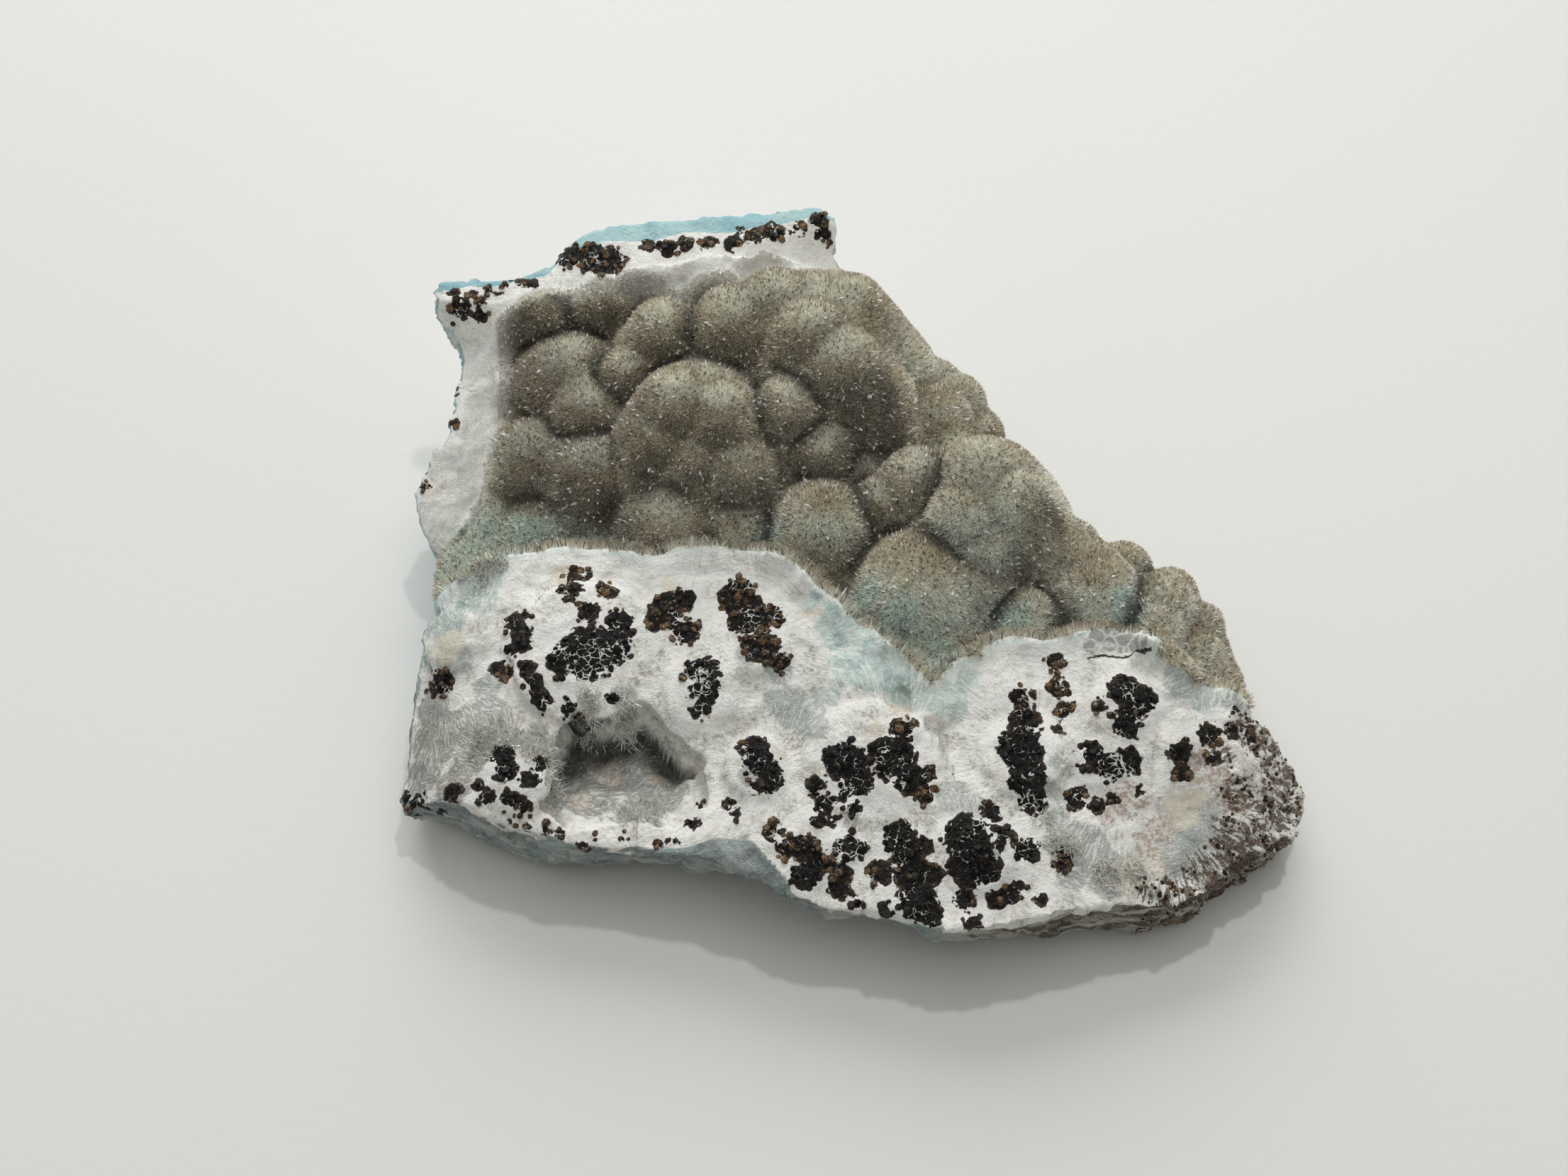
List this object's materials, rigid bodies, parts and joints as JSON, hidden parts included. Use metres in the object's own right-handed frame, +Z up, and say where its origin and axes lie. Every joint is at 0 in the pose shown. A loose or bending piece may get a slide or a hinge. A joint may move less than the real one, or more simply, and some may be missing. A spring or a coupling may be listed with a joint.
{
  "type": "hemimorphite specimen",
  "caption": "Broken plate of hemimorphite rock with a hollow of rounded druse-covered domes on top and a banded, goethite-spotted break in front.",
  "frame": {"origin": "under the middle of the bounding box, on the surface the specimen rests on", "axes": "+X along the long side toward the narrow nose, +Y toward the raised back rim, +Z up"},
  "size_m": [0.0784, 0.0688, 0.0232],
  "materials": {
    "matrix": "broken rock: grey-white hemimorphite with black goethite spots",
    "druse": "brown-grey sparkling crystal druse"
  },
  "bodies": {
    "root": {"matrix": "matrix", "druse_crust": "druse"}
  },
  "joints": []
}
